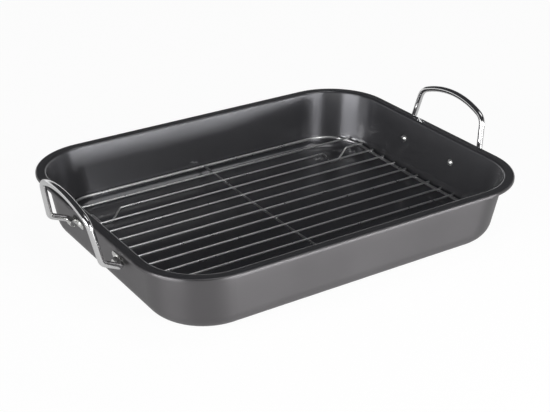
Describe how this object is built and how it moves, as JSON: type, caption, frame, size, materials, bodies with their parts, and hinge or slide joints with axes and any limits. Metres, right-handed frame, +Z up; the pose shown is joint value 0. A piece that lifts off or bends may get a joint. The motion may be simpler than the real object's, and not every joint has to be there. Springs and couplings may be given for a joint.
{
  "type": "roasting pan with rack",
  "caption": "Rectangular sheet-steel roasting pan with a flat rolled rim, fold-down wire loop handles in riveted straps, and a loose wire rack on bent feet inside.",
  "frame": {"origin": "middle of the pan's underside, on the surface it stands on", "axes": "+X towards the right handle, +Y towards the back long side, +Z up out of the pan"},
  "size_m": [0.4662, 0.3314, 0.1032],
  "materials": {
    "pan_coating": "non-stick coating on sheet steel: dark and glossy inside and on the rim, satin grey outside",
    "strap_steel": "bright plated sheet steel",
    "rivet_steel": "bright domed heads",
    "handle_chrome": "bright chrome-plated wire",
    "rack_chrome": "bright chrome-plated wire"
  },
  "bodies": {
    "pan": {"pan_body": "pan_coating", "left_front_strap": "strap_steel", "left_front_rivet": "rivet_steel", "left_back_strap": "strap_steel", "left_back_rivet": "rivet_steel", "right_front_strap": "strap_steel", "right_front_rivet": "rivet_steel", "right_back_strap": "strap_steel", "right_back_rivet": "rivet_steel"},
    "left_handle": {"left_handle": "handle_chrome"},
    "right_handle": {"right_handle": "handle_chrome"},
    "rack": {"rack_frame": "rack_chrome", "rack_cross_wire": "rack_chrome", "rack_rod_01": "rack_chrome", "rack_foot_rod_02": "rack_chrome", "rack_rod_03": "rack_chrome", "rack_rod_04": "rack_chrome", "rack_rod_05": "rack_chrome", "rack_rod_06": "rack_chrome", "rack_rod_07": "rack_chrome", "rack_rod_08": "rack_chrome", "rack_rod_09": "rack_chrome", "rack_rod_10": "rack_chrome", "rack_rod_11": "rack_chrome", "rack_foot_rod_12": "rack_chrome", "rack_rod_13": "rack_chrome"}
  },
  "joints": [
    {"name": "left_handle_hinge", "type": "hinge", "parent": "pan", "child": "left_handle", "pos_m": [-0.20105, 0, 0.04044], "axis": [0, -1, 0], "range_deg": [-21, 97]},
    {"name": "right_handle_hinge", "type": "hinge", "parent": "pan", "child": "right_handle", "pos_m": [0.20105, -0.0035, 0.04044], "axis": [0, 1, 0], "range_deg": [-21, 97]},
    {"name": "rack_lift", "type": "slide", "parent": "pan", "child": "rack", "axis": [0, 0, 1], "range_m": [0, 0.12]}
  ]
}
